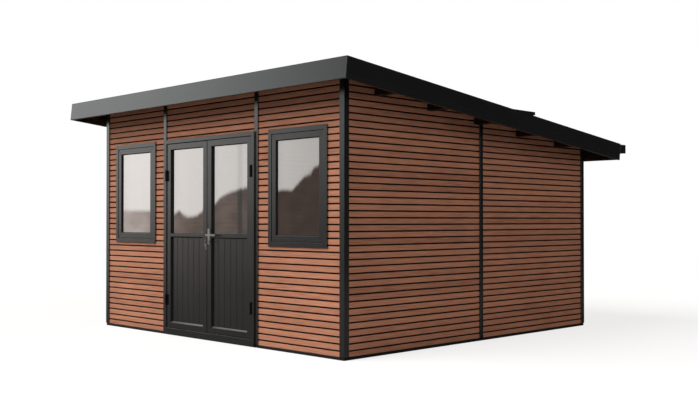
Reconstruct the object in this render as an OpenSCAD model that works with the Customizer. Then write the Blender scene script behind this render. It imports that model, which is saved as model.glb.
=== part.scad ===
// Garden shed with a single-pitch roof, walls of horizontal composite slats
// between metal posts, a glazed double door and two windows.
// Origin at the middle of the wall footprint, on the ground.
// +X is to the right seen from the front, +Y to the back and +Z up.

/* [Footprint] */
// Width across the outer faces of the corner posts
width = 3800; // [3200:50:4600]
// Depth across the outer faces of the corner posts
depth = 3770; // [3200:10:4600]
// Height of the base frame that the walls stand on
base_h = 27; // [20:1:40]
// How far the base frame is set back from the faces of the posts
base_inset = 6; // [0:1:12]

/* [Walls] */
// Width of the square corner posts
corner_post = 58; // [45:1:80]
// Width of the posts between two bays of a wall
bay_post = 50; // [45:1:80]
// Thickness of the slat walls
board_t = 28; // [20:1:34]
// How far the slats are set back from the faces of the posts
board_inset = 12; // [4:1:14]

/* [Roof] */
// Height of the roof's front top edge
roof_front_h = 2480; // [2400:10:2900]
// Slope of the roof down to the back, in degrees
roof_pitch = 6.03; // [4:0.01:7]
// Overhang of the roof's top edge at the front
overhang_front = 262; // [200:1:400]
// Overhang of the roof's top edge at the rear
overhang_rear = 276; // [200:1:400]
// Overhang of the roof at either side
overhang_side = 300; // [200:1:400]
// Height of the fascias, square to the roof
fascia_h = 178; // [150:1:220]
// Thickness of the fascias
fascia_t = 25; // [18:1:40]
// Drop from the fascias' top edge to the roof deck
deck_drop = 12; // [6:1:20]
// Thickness of the roof deck
deck_t = 28; // [18:1:34]

/* [Purlins] */
// Number of purlins across the roof
purlin_count = 5; // [3:1:5]
// Width of a purlin
purlin_w = 60; // [40:1:80]
// Height of a purlin
purlin_h = 116; // [90:1:138]
// Distance from the roof's front edge to the first purlin, down the slope
purlin_first = 661; // [500:1:750]
// Spacing of the purlins down the slope
purlin_pitch = 704; // [560:1:720]

/* [Door] */
// Clear width between the two posts beside the door
door_bay = 1431; // [1200:1:1700]
// Height of the door frame's top edge
door_top = 1995; // [1850:1:2060]
// Face width of the frame's jambs
jamb_w = 40; // [36:1:55]
// Face height of the frame's head
head_h = 38; // [34:1:55]
// Height of the threshold's top face
threshold_top = 73; // [60:1:90]
// How far the frame stands proud of the posts
door_proud = 16; // [8:1:20]
// How far the leaves are set back from the frame's face
leaf_recess = 8; // [0:1:12]
// Thickness of the door leaves
leaf_t = 68; // [60:1:80]
// Gap between a leaf and its frame
leaf_gap = 5; // [5:0.5:8]
// Gap between the two leaves at the outer face
meeting_gap = 9; // [8:0.5:12]
// Width of a leaf's stiles
stile_w = 62; // [52:1:80]
// Height of a leaf's top rail
top_rail_h = 56; // [45:1:80]
// Height of the middle rail's top edge
mid_rail_top = 1037; // [950:1:1100]
// Height of the middle rail
mid_rail_h = 30; // [24:1:60]
// Height of the bottom rail
bottom_rail_h = 52; // [40:1:80]
// Depth of the glass behind the leaf's outer face
glass_recess = 22; // [16:1:46]
// Depth of the lower panel behind the leaf's outer face
panel_recess = 20; // [12:1:28]

/* [Door hardware] */
// Height of a hinge
hinge_h = 112; // [90:1:140]
// Width of one hinge plate
hinge_plate_w = 15; // [12:1:20]
// Radius of the hinge barrel
barrel_r = 7.5; // [6:0.5:9]
// Radius of the hinge pin
pin_r = 4; // [3:0.5:4]
// Height of the lower hinges' middle
hinge_low = 361; // [300:1:420]
// Height of the upper hinges' middle
hinge_high = 1630; // [1500:1:1700]
// Height of the lever's spindle
lever_z = 1030; // [980:1:1060]
// Length of the lever from its spindle
lever_len = 136; // [100:1:150]
// Width of the handle plates
plate_w = 32; // [28:1:40]
// Height of the handle plates
plate_h = 150; // [130:1:180]

/* [Windows] */
// Width of a window over its outer trim
window_w = 775; // [600:1:900]
// Height of a window over its outer trim
window_h = 1060; // [850:1:1060]
// Height of the trim's lower edge
window_sill = 935; // [800:1:935]
// Face width of the trim
trim_w = 44; // [36:1:55]
// How far the trim stands proud of the slats
trim_proud = 14; // [6:1:18]
// Face width of the sash
sash_w = 58; // [45:1:65]

/* [Gutter and vent] */
// Depth of the box gutter from front to back
gutter_d = 110; // [90:1:140]
// Height of the box gutter
gutter_h = 93; // [80:1:120]
// Wall thickness of the gutter
gutter_t = 4; // [3:0.5:6]
// Width of the square downpipe
pipe_w = 60; // [50:1:70]
// Width and depth of the roof vent's hood
vent_w = 420; // [320:10:480]
// Rise of the hood above the roof at its rear edge
vent_rise = 206; // [160:1:260]

/* [Hidden] */
$fn = 48;
eps = 1;

// Faces of the wall, from the outside in
front_y = -depth / 2;
board_face = front_y + board_inset;
room_w = width - 2 * corner_post;
room_d = depth - 2 * corner_post;

// Bays of the front wall
bay_post_x = door_bay / 2 + bay_post / 2;
side_bay_w = width / 2 - corner_post - door_bay / 2 - bay_post;
side_bay_x = width / 2 - corner_post - side_bay_w / 2;

// Roof
roof_w = width + 2 * overhang_side;
roof_len = (depth + overhang_front + overhang_rear) / cos(roof_pitch);
deck_under = deck_drop + deck_t;

// Door frame and leaves
door_lap = 14.5;
stop_t = 12;
frame_t = leaf_recess + leaf_t + leaf_gap + stop_t;
stop_w = 15;
door_face = front_y - door_proud;
leaf_face = door_face + leaf_recess;
frame_w = door_bay + 2 * door_lap;
clear_w = frame_w - 2 * jamb_w;
clear_top = door_top - head_h;
leaf_w = (clear_w - 2 * leaf_gap - meeting_gap) / 2;
leaf_bottom = threshold_top + leaf_gap;
leaf_top = clear_top - leaf_gap;
meeting_bevel = 9;
light_bottom = mid_rail_top;
light_top = leaf_top - top_rail_h;
panel_bottom = leaf_bottom + bottom_rail_h;
panel_top = mid_rail_top - mid_rail_h;
leaf_open_w = leaf_w - 2 * stile_w;
bead = 8;
door_glass_t = 16;
panel_t = 28;

// Hinges
hinge_x = clear_w / 2 - leaf_gap / 2;
hinge_y = door_face - barrel_r - 0.5;
plate_t = 5;
knuckle_gap = 0.5;
knuckle_h = 39;
barrel_clear = 1;
pin_clear = 0.05;

// Handle
handle_x = meeting_gap / 2 + stile_w / 2;
handle_plate_t = 8;
handle_plate_z = lever_z - 90;
neck_r = 8;
spindle_r = 5;
spindle_hole_r = 12;
lever_out = 34;
lever_t = 10;
lever_h = 18;
cylinder_r = 9;
lock_z = lever_z - 62;

// Windows
window_lap = 20;
window_t = 62;
sash_set_back = 4;
sash_t = 48;
sash_glass_recess = 16;
window_glass_t = 16;

// Gutter, downpipe and vent
gutter_drop = 6;
gutter_lip = 12;
gutter_y = depth / 2 + overhang_rear;
gutter_z = roof_z(gutter_y) - gutter_drop - gutter_h;
pipe_x = -(width / 2 - corner_post - 60);
pipe_top_y = gutter_y + gutter_d / 2;
pipe_wall_y = depth / 2 + pipe_w / 2 + 12;
pipe_bend = 45;
pipe_bend_z = gutter_z - 90;
pipe_foot = 90;
pipe_brackets = [400, 1250];
vent_x = width / 2 - 150 - vent_w / 2;
vent_y = depth / 4;
vent_hood_h = 34;
vent_step = 20;

slat_colour = [0.62, 0.43, 0.34];
frame_colour = [0.25, 0.26, 0.28];
roof_colour = [0.16, 0.17, 0.18];
black = [0.05, 0.05, 0.06];
silver = [0.76, 0.77, 0.78];
glass_colour = [0.72, 0.78, 0.8, 0.35];
floor_colour = [0.5, 0.4, 0.32];

// Height of the roof's top plane above a given y
function roof_z(y) = roof_front_h - (y + depth / 2 + overhang_front) * tan(roof_pitch);

// ---------- Shared shapes ----------

// Places children in the roof's frame: y runs down the slope from the front
// edge, z is square to the roof and 0 at the fascias' top edge.
module in_roof() {
    translate([0, front_y - overhang_front, roof_front_h])
        rotate([-roof_pitch, 0, 0])
            children();
}

// A box given by two opposite corners
module box(low, high) {
    translate(low)
        cube(high - low);
}

// One purlin, in the roof's frame
module purlin(i) {
    y = purlin_first + i * purlin_pitch;
    box([-roof_w / 2 + fascia_t, y, -deck_under - purlin_h],
        [roof_w / 2 - fascia_t, y + purlin_w, -deck_under]);
}

// Cuts children off under the deck and round the purlins
module under_roof() {
    difference() {
        children();
        in_roof() {
            box([-roof_w, -roof_len, -deck_under], [roof_w, 2 * roof_len, roof_front_h]);
            for (i = [0 : purlin_count - 1])
                purlin(i);
        }
    }
}

// Upright rectangular ring, centred on x, its front face at y = 0
module ring(w, h, border, t) {
    difference() {
        box([-w / 2, 0, 0], [w / 2, t, h]);
        box([-w / 2 + border, -eps, border], [w / 2 - border, t + eps, h - border]);
    }
}

// Mirrors children to the right (side = 1) or leaves them on the left (side = -1)
module on_side(side) {
    mirror([side > 0 ? 1 : 0, 0, 0])
        children();
}

// ---------- Base ----------

module base_frame() {
    w = width - 2 * base_inset;
    d = depth - 2 * base_inset;
    color(black)
        difference() {
            box([-w / 2, -d / 2, 0], [w / 2, d / 2, base_h]);
            box([-room_w / 2, -room_d / 2, -eps], [room_w / 2, room_d / 2, base_h + eps]);
        }
}

module floor_deck() {
    color(floor_colour)
        box([-room_w / 2, -room_d / 2, 0], [room_w / 2, room_d / 2, base_h]);
}

// ---------- Walls ----------

// Slat wall of the left front bay, with the window's opening cut through
module front_bay_wall() {
    open_w = window_w - 2 * window_lap;
    open_h = window_h - 2 * window_lap;
    color(slat_colour)
        under_roof()
            translate([-side_bay_x, board_face, 0])
                difference() {
                    box([-side_bay_w / 2, 0, base_h], [side_bay_w / 2, board_t, roof_front_h]);
                    translate([-open_w / 2, -eps, window_sill + window_lap])
                        cube([open_w, board_t + 2 * eps, open_h]);
                }
}

module front_wall_over_door() {
    color(slat_colour)
        under_roof()
            box([-door_bay / 2, board_face, door_top - door_lap],
                [door_bay / 2, board_face + board_t, roof_front_h]);
}

// Half of the left wall: end = -1 is the front bay, end = 1 the back bay
module side_bay_wall(end) {
    x = -width / 2 + board_inset;
    y_near = bay_post / 2;
    y_far = depth / 2 - corner_post;
    color(slat_colour)
        under_roof()
            box([x, end < 0 ? -y_far : y_near, base_h],
                [x + board_t, end < 0 ? -y_near : y_far, roof_front_h]);
}

module back_bay_wall() {
    y = depth / 2 - board_inset;
    color(slat_colour)
        under_roof()
            box([-width / 2 + corner_post, y - board_t, base_h], [-bay_post / 2, y, roof_front_h]);
}

// ---------- Posts ----------

module post(w, x, y) {
    color(frame_colour)
        under_roof()
            box([x - w / 2, y - corner_post / 2, base_h], [x + w / 2, y + corner_post / 2, roof_front_h]);
}

module corner(sx, sy) {
    post(corner_post, sx * (width - corner_post) / 2, sy * (depth - corner_post) / 2);
}

module door_post(side) {
    post(bay_post, side * bay_post_x, -(depth - corner_post) / 2);
}

module side_post(side) {
    x = side * (width - corner_post) / 2;
    color(frame_colour)
        under_roof()
            box([x - corner_post / 2, -bay_post / 2, base_h], [x + corner_post / 2, bay_post / 2, roof_front_h]);
}

module back_post() {
    post(bay_post, 0, (depth - corner_post) / 2);
}

// ---------- Door ----------

// Jambs, head and threshold, with a flange over the posts and a stop behind the leaves
module door_frame() {
    stop_y = door_face + frame_t - stop_t;
    color(frame_colour)
        difference() {
            union() {
                box([-frame_w / 2, door_face, base_h], [frame_w / 2, front_y, door_top]);
                box([-frame_w / 2, door_face, 10], [frame_w / 2, front_y, base_h]);
                box([-door_bay / 2, front_y, base_h],
                    [door_bay / 2, door_face + frame_t, door_top - door_lap]);
                box([-door_bay / 2, front_y, door_top - door_lap],
                    [door_bay / 2, board_face, door_top]);
            }
            box([-clear_w / 2, door_face - eps, threshold_top], [clear_w / 2, stop_y, clear_top]);
            box([-clear_w / 2 + stop_w, stop_y - eps, threshold_top + stop_w],
                [clear_w / 2 - stop_w, door_face + frame_t + eps, clear_top - stop_w]);
        }
}

// Outline of the left leaf seen from above, with its meeting edge bevelled
module leaf_outline() {
    polygon([[0, 0], [leaf_w, 0], [leaf_w - meeting_bevel, leaf_t], [0, leaf_t]]);
}

// Opening in a leaf with a rebate that holds a sheet of thickness t at depth recess
module leaf_opening(z_low, z_high, recess, t) {
    box([stile_w, -eps, z_low], [stile_w + leaf_open_w, leaf_t + eps, z_high]);
    leaf_sheet(z_low, z_high, recess, t);
}

module leaf_sheet(z_low, z_high, recess, t) {
    box([stile_w - bead, recess, z_low - bead], [stile_w + leaf_open_w + bead, recess + t, z_high + bead]);
}

// Places the left leaf's own frame: its hinge edge at x = 0, outer face at y = 0
module in_left_leaf() {
    translate([-clear_w / 2 + leaf_gap, leaf_face, 0])
        children();
}

module leaf_body() {
    difference() {
        translate([0, 0, leaf_bottom])
            linear_extrude(leaf_top - leaf_bottom)
                leaf_outline();
        leaf_opening(light_bottom, light_top, glass_recess, door_glass_t);
        leaf_opening(panel_bottom, panel_top, panel_recess, panel_t);
    }
}

module left_door_leaf() {
    color(frame_colour)
        in_left_leaf()
            leaf_body();
}

module right_door_leaf() {
    color(frame_colour)
        difference() {
            on_side(1)
                in_left_leaf()
                    leaf_body();
            translate([handle_x, leaf_face + leaf_t / 2, lever_z])
                rotate([90, 0, 0])
                    cylinder(r = spindle_hole_r, h = leaf_t + 2 * eps, center = true);
        }
}

module door_glass(side) {
    color(glass_colour)
        on_side(side)
            in_left_leaf()
                leaf_sheet(light_bottom, light_top, glass_recess, door_glass_t);
}

module door_panel(side) {
    color(frame_colour)
        on_side(side)
            in_left_leaf()
                leaf_sheet(panel_bottom, panel_top, panel_recess, panel_t);
}

// ---------- Hinges ----------

// Places children at the left leaf's two hinge axes, z = 0 at the hinge's middle
module at_left_hinges() {
    for (z = [hinge_low, hinge_high])
        translate([-hinge_x, hinge_y, z])
            children();
}

// Jamb half: plate, upper and lower knuckle, and the pin
module jamb_hinge() {
    face = door_face - hinge_y;
    half = knuckle_h / 2 + knuckle_gap;
    difference() {
        union() {
            box([-hinge_plate_w, face - plate_t, -hinge_h / 2], [0, face, hinge_h / 2]);
            cylinder(r = barrel_r, h = hinge_h, center = true);
        }
        box([-barrel_r - barrel_clear, -2 * barrel_r, -half], [2 * barrel_r, face + eps, half]);
    }
    cylinder(r = pin_r, h = hinge_h, center = true);
}

// Leaf half: plate and middle knuckle with its bore
module leaf_hinge() {
    face = door_face - hinge_y;
    seat = leaf_face - hinge_y;
    from = barrel_r + barrel_clear;
    difference() {
        union() {
            box([from, face - plate_t, -hinge_h / 2], [hinge_plate_w, seat, hinge_h / 2]);
            box([leaf_gap / 2, face - plate_t, -knuckle_h / 2], [from + eps, seat, knuckle_h / 2]);
            cylinder(r = barrel_r, h = knuckle_h, center = true);
        }
        cylinder(r = pin_r + pin_clear, h = hinge_h, center = true);
    }
}

module jamb_hinges(side) {
    color(black)
        on_side(side)
            at_left_hinges()
                jamb_hinge();
}

module door_hinges(side) {
    color(black)
        on_side(side)
            at_left_hinges()
                leaf_hinge();
}

// ---------- Handle ----------

// Runs children along y from the outer face (dir = -1) or the inner face (dir = 1)
module on_leaf_face(dir, z) {
    translate([handle_x, dir < 0 ? leaf_face : leaf_face + leaf_t, z])
        rotate([dir < 0 ? 90 : -90, 0, 0])
            children();
}

// Outer and inner plates, with the lock cylinder, and the key in the outer one
module handle_plates() {
    key_w = 24;
    color(silver)
        for (dir = [-1, 1]) {
            difference() {
                on_leaf_face(dir, handle_plate_z)
                    translate([-plate_w / 2, dir < 0 ? 0 : -plate_h, 0])
                        cube([plate_w, plate_h, handle_plate_t]);
                on_leaf_face(dir, lever_z)
                    translate([0, 0, -eps])
                        cylinder(r = neck_r + pin_clear, h = handle_plate_t + 2 * eps);
            }
            on_leaf_face(dir, lock_z)
                cylinder(r = cylinder_r, h = handle_plate_t + 5);
        }
    color(silver)
        on_leaf_face(-1, lock_z)
            translate([-1.25, -key_w / 2, handle_plate_t])
                cube([2.5, key_w, 26]);
}

// Outer and inner levers on one spindle
module door_lever() {
    color(silver) {
        for (dir = [-1, 1])
            on_leaf_face(dir, lever_z) {
                cylinder(r = neck_r, h = lever_out + lever_t);
                translate([0, -lever_h / 2, lever_out])
                    cube([lever_len - lever_h / 2, lever_h, lever_t]);
                translate([lever_len - lever_h / 2, 0, lever_out])
                    cylinder(r = lever_h / 2, h = lever_t);
                translate([0, 0, lever_out])
                    cylinder(r = lever_h / 2, h = lever_t);
            }
        on_leaf_face(-1, lever_z)
            translate([0, 0, -leaf_t - eps])
                cylinder(r = spindle_r, h = leaf_t + 2 * eps);
    }
}

// ---------- Windows ----------

// Places children in the left bay, their front on the trim's outer face
module in_window(side, back = 0) {
    on_side(side)
        translate([-side_bay_x, board_face - trim_proud + back, window_sill])
            children();
}

// Trim on the slats, and the frame that passes through them
module window_frame(side) {
    body_border = trim_w - window_lap;
    color(frame_colour)
        in_window(side) {
            ring(window_w, window_h, trim_w, trim_proud);
            translate([0, trim_proud, window_lap])
                ring(window_w - 2 * window_lap, window_h - 2 * window_lap,
                     body_border, window_t - trim_proud);
        }
}

module window_glass_block(grow) {
    w = window_w - 2 * (trim_w + sash_w);
    h = window_h - 2 * (trim_w + sash_w);
    translate([-w / 2 - grow, sash_glass_recess, trim_w + sash_w - grow])
        cube([w + 2 * grow, window_glass_t, h + 2 * grow]);
}

module window_sash(side) {
    color(frame_colour)
        in_window(side, sash_set_back)
            difference() {
                translate([0, 0, trim_w])
                    ring(window_w - 2 * trim_w, window_h - 2 * trim_w, sash_w, sash_t);
                window_glass_block(bead);
            }
}

module window_glass(side) {
    color(glass_colour)
        in_window(side, sash_set_back)
            window_glass_block(bead);
}

// ---------- Roof ----------

module roof_deck() {
    color(roof_colour)
        in_roof()
            box([-roof_w / 2 + fascia_t, fascia_t, -deck_under],
                [roof_w / 2 - fascia_t, roof_len - fascia_t, -deck_drop]);
}

module purlins() {
    color(frame_colour)
        in_roof()
            for (i = [0 : purlin_count - 1])
                purlin(i);
}

module front_fascia() {
    color(frame_colour)
        in_roof()
            box([-roof_w / 2, 0, -fascia_h], [roof_w / 2, fascia_t, 0]);
}

// Ends flush with the deck, so that the roof drains over it
module rear_fascia() {
    color(frame_colour)
        in_roof()
            box([-roof_w / 2 + fascia_t, roof_len - fascia_t, -fascia_h],
                [roof_w / 2 - fascia_t, roof_len, -deck_drop]);
}

module side_fascia(side) {
    color(frame_colour)
        on_side(side)
            in_roof()
                box([-roof_w / 2, fascia_t, -fascia_h], [-roof_w / 2 + fascia_t, roof_len, 0]);
}

// ---------- Gutter and downpipe ----------

// Level box gutter, its back cut to the slope of the rear fascia and lower than its front
module gutter() {
    inner = roof_w / 2 - gutter_t;
    top = gutter_z + gutter_h;
    color(frame_colour)
        difference() {
            box([-roof_w / 2, gutter_y - gutter_d / 4, gutter_z], [roof_w / 2, gutter_y + gutter_d, top]);
            box([-inner, gutter_y + gutter_t, gutter_z + gutter_t],
                [inner, gutter_y + gutter_d - gutter_t, top + eps]);
            box([-inner, gutter_y - gutter_d, top - gutter_lip], [inner, gutter_y + gutter_t + eps, top + eps]);
            in_roof()
                box([-roof_w, 0, -2 * fascia_h], [roof_w, roof_len, fascia_h]);
        }
}

// One side of the downpipe's swan neck, offset by s from its middle line
function pipe_side(s) = [
    [pipe_top_y + s, gutter_z],
    [pipe_top_y + s, pipe_bend_z - s * tan(pipe_bend / 2)],
    [pipe_wall_y + s, pipe_bend_z - (pipe_top_y - pipe_wall_y) - s * tan(pipe_bend / 2)],
    [pipe_wall_y + s, pipe_foot]
];

function reversed(list) = [for (i = [len(list) - 1 : -1 : 0]) list[i]];

// Square pipe from under the gutter to near the ground, with the brackets that hold it
module downpipe() {
    bracket_w = pipe_w + 24;
    bracket_h = 20;
    color(frame_colour) {
        translate([pipe_x - pipe_w / 2, 0, 0])
            rotate([90, 0, 90])
                linear_extrude(pipe_w)
                    polygon(concat(pipe_side(pipe_w / 2), reversed(pipe_side(-pipe_w / 2))));
        for (z = pipe_brackets)
            box([pipe_x - bracket_w / 2, depth / 2 - board_inset, z],
                [pipe_x + bracket_w / 2, pipe_wall_y - pipe_w / 2 + 6, z + bracket_h]);
    }
}

// ---------- Roof vent ----------

// Level hood on a box that is cut to the slope of the roof
module roof_vent() {
    half = vent_w / 2;
    body = half - vent_step;
    top = roof_z(vent_y + half) + vent_rise;
    color(roof_colour) {
        difference() {
            union() {
                box([vent_x - half, vent_y - half, top - vent_hood_h], [vent_x + half, vent_y + half, top]);
                box([vent_x - body, vent_y - body, roof_z(vent_y + half) - deck_under],
                    [vent_x + body, vent_y + body, top - vent_hood_h]);
            }
            in_roof()
                box([-roof_w, 0, -fascia_h], [roof_w, roof_len, -deck_drop]);
        }
    }
}

base_frame();
floor_deck();
front_bay_wall();  // front_wall_left
on_side(1) front_bay_wall();  // front_wall_right
front_wall_over_door();
on_side(1) side_bay_wall(-1);  // right_wall_front
on_side(1) side_bay_wall(1);  // right_wall_back
side_bay_wall(-1);  // left_wall_front
side_bay_wall(1);  // left_wall_back
back_bay_wall();  // back_wall_left
on_side(1) back_bay_wall();  // back_wall_right
corner(-1, -1);  // front_left_post
corner(1, -1);  // front_right_post
corner(-1, 1);  // back_left_post
corner(1, 1);  // back_right_post
door_post(-1);  // left_door_post
door_post(1);  // right_door_post
side_post(-1);  // left_middle_post
side_post(1);  // right_middle_post
back_post();  // back_middle_post
door_frame();
jamb_hinges(-1);  // left_jamb_hinges
jamb_hinges(1);  // right_jamb_hinges
left_door_leaf();
door_glass(-1);  // left_door_glass
door_panel(-1);  // left_door_panel
door_hinges(-1);  // left_door_hinges
right_door_leaf();
door_glass(1);  // right_door_glass
door_panel(1);  // right_door_panel
door_hinges(1);  // right_door_hinges
handle_plates();
door_lever();
window_frame(-1);  // left_window_frame
window_sash(-1);  // left_window_sash
window_glass(-1);  // left_window_glass
window_frame(1);  // right_window_frame
window_sash(1);  // right_window_sash
window_glass(1);  // right_window_glass
roof_deck();
purlins();
front_fascia();
rear_fascia();
side_fascia(-1);  // left_fascia
side_fascia(1);  // right_fascia
gutter();
downpipe();
roof_vent();
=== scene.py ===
import logging
import math
import random
from dataclasses import dataclass
from enum import Enum
from typing import Callable, Iterable, Sequence

import bmesh
import bpy
from mathutils import Euler, Matrix, Vector


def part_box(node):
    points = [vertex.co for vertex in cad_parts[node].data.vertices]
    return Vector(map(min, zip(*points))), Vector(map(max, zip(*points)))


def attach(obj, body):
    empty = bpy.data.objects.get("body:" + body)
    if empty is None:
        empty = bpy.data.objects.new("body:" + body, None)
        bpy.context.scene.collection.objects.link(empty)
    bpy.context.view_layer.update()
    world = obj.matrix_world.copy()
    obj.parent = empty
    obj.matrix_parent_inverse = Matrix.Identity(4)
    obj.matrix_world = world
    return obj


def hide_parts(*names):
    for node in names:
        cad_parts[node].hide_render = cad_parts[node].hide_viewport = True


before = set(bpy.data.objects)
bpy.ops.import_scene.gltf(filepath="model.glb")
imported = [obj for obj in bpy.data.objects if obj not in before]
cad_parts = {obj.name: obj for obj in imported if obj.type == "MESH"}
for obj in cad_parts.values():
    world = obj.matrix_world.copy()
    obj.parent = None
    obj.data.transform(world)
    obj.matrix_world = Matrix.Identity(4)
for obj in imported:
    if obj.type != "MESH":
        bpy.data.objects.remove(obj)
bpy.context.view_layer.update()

log = logging.getLogger("shed")

Point = tuple[float, float, float]
Coords = Sequence[float]

DEGREES = 180.0 / math.pi
Y_AXIS = (0.0, 1.0, 0.0)
WHITE = (1.0, 1.0, 1.0)
WINDOW_LAP = 0.02


class Slot(Enum):
    """Material slots of the record."""

    SLATS = "slats"
    FRAME = "frame"
    ROOF = "roof"
    GUTTER = "gutter"
    BASE = "base"
    FLOOR = "floor"
    GLASS = "glass"
    BLACK = "black_hardware"
    SILVER = "silver"


class Body(Enum):
    """Bodies that the pieces ride on."""

    SHED = "shed"
    LEFT_DOOR = "left_door"
    RIGHT_DOOR = "right_door"
    LEVER = "door_lever"


class Side(Enum):
    """The two halves of the front, with the sign of their x."""

    LEFT = -1
    RIGHT = 1

    @property
    def word(self) -> str:
        """Name of the side in lower case."""
        return self.name.lower()

    @property
    def door_body(self) -> Body:
        """Body of this side's door leaf."""
        return Body.LEFT_DOOR if self is Side.LEFT else Body.RIGHT_DOOR


# --- Shader building ---


def operator(operation: str, swapped: bool = False) -> Callable:
    """A Socket method that adds a Math node, with its two values swapped if asked."""
    def apply(socket: "Socket", other: "Socket | float") -> "Socket":
        """Adds the Math node."""
        return socket.shader.math(operation, *((other, socket) if swapped else (socket, other)))
    return apply


class Socket:
    """A node's output on which Python's operators add Math nodes."""

    __add__ = __radd__ = operator("ADD")
    __mul__ = __rmul__ = operator("MULTIPLY")
    __truediv__ = operator("DIVIDE")
    __sub__ = operator("SUBTRACT")
    __rsub__ = operator("SUBTRACT", swapped=True)

    def __init__(self, shader: "Shader", link: bpy.types.NodeSocket) -> None:
        """Wraps one output socket of a shader's node."""
        self.shader = shader
        self.link = link

    def clamped(self) -> "Socket":
        """The value held between 0 and 1."""
        return self.shader.node("Clamp", inputs={"Value": self})

    def rise(self, start: float, width: float) -> "Socket":
        """0 up to a start, and 1 from a width past it."""
        return ((self - start) / width).clamped()

    def fall(self, end: float, width: float) -> "Socket":
        """1 up to a width short of an end, and 0 from the end."""
        return ((end - self) / width).clamped()


Value = Socket | float | tuple


class Shader:
    """Builds the nodes of one material or world."""

    def __init__(self, tree: bpy.types.NodeTree) -> None:
        """Empties the tree."""
        self.tree = tree
        tree.nodes.clear()

    def node(self, kind: str, settings: dict | None = None, inputs: dict | None = None,
             output: int | str = 0) -> Socket:
        """Adds one node.

        Args:
            kind: the node's type, without the ShaderNode prefix.
            settings: properties that are set first.
            inputs: values or links, by socket name or number.
            output: the socket that is returned.

        Returns:
            The chosen output.
        """
        made = self.tree.nodes.new("ShaderNode" + kind)
        for name, value in (settings or {}).items():
            setattr(made, name, value)
        for key, value in (inputs or {}).items():
            if isinstance(value, Socket):
                self.tree.links.new(value.link, made.inputs[key])
            else:
                made.inputs[key].default_value = value
        return Socket(self, made.outputs[output])

    def math(self, operation: str, *values: Socket | float) -> Socket:
        """A Math node of the given operation."""
        return self.node("Math", {"operation": operation}, dict(enumerate(values)))

    def mix(self, factor: Socket | float, low: Value, high: Value) -> Socket:
        """Mixes two colours."""
        low, high = (v if isinstance(v, Socket) else (*v, 1.0) for v in (low, high))
        return self.node("Mix", {"data_type": "RGBA"}, {0: factor, 6: low, 7: high}, output=2)

    def ridge(self, bearing: Socket, tops: Sequence[tuple[float, float]]) -> Socket:
        """Height of a skyline in degrees.

        Args:
            bearing: where along it, in degrees.
            tops: rising bearings, each with a height.

        Returns:
            The height.
        """
        first, span = tops[0][0], tops[-1][0] - tops[0][0]
        highest = max(height for _, height in tops)
        level = self.node("ValToRGB", inputs={"Fac": (bearing - first) / span})
        stops = level.link.node.color_ramp.elements
        while len(stops) < len(tops):
            stops.new(1.0)
        for stop, (place, height) in zip(stops, tops):
            stop.position = (place - first) / span
            stop.color = (*(height / highest,) * 3, 1.0)
        return level * highest

    def noise(self, scale: float, detail: float = 3.0, stretch: Point = (1.0, 1.0, 1.0)) -> Socket:
        """Noise from 0 to 1 on object coordinates with each axis scaled."""
        here = self.node("TexCoord", output="Object")
        place = self.node("Mapping", inputs={"Vector": here, "Scale": stretch})
        inputs = {"Vector": place, "Scale": scale, "Detail": detail, "Roughness": 0.55}
        return self.node("TexNoise", inputs=inputs, output="Fac")

    def bump(self, height: Socket, strength: float, distance: float) -> Socket:
        """A Bump node for a Normal socket."""
        inputs = {"Height": height, "Strength": strength, "Distance": distance}
        return self.node("Bump", inputs=inputs, output="Normal")

    def upward(self) -> Socket:
        """How far the surface faces up, from 0 to 1."""
        normal = self.node("NewGeometry", output="Normal")
        return self.node("SeparateXYZ", inputs={0: normal}, output="Z").clamped()

    def rays(self) -> list[Socket]:
        """Whether a ray is the camera's, and whether it is a reflection's."""
        return [self.node("LightPath", output=f"Is {kind} Ray") for kind in ("Camera", "Glossy")]

    def surface(self, **inputs: Value) -> None:
        """Ends the material in a Principled shader; an input's underscores stand for spaces."""
        named = {name.replace("_", " "): value for name, value in inputs.items()}
        colour = named["Base Color"]
        named["Base Color"] = colour if isinstance(colour, Socket) else (*colour, 1.0)
        principled = self.node("BsdfPrincipled", inputs=named)
        self.node_output("OutputMaterial", principled)

    def node_output(self, kind: str, shader: Socket) -> None:
        """Adds the output node."""
        made = self.tree.nodes.new("ShaderNode" + kind)
        self.tree.links.new(shader.link, made.inputs["Surface"])


# --- Finishes ---

COAT_TINT = (0.93, 0.985, 1.0, 1.0)


@dataclass(frozen=True)
class Finish:
    """A finish in one of the record's slots."""

    name: str
    slot: Slot
    colour: Point
    roughness: float

    def material(self) -> bpy.types.Material:
        """The finish's material, made once."""
        found = bpy.data.materials.get(self.name)
        if found is None:
            found = bpy.data.materials.new(self.name)
            found.use_nodes = True
            found.diffuse_color = (*self.colour, 1.0)
            self.build(Shader(found.node_tree))
        return found

    def shade(self, factor: float, lift: float = 0.0) -> Point:
        """The finish's colour made darker or lighter."""
        return tuple(c * factor + lift for c in self.colour)

    def build(self, shader: Shader) -> None:
        """Makes the nodes."""
        raise NotImplementedError


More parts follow.
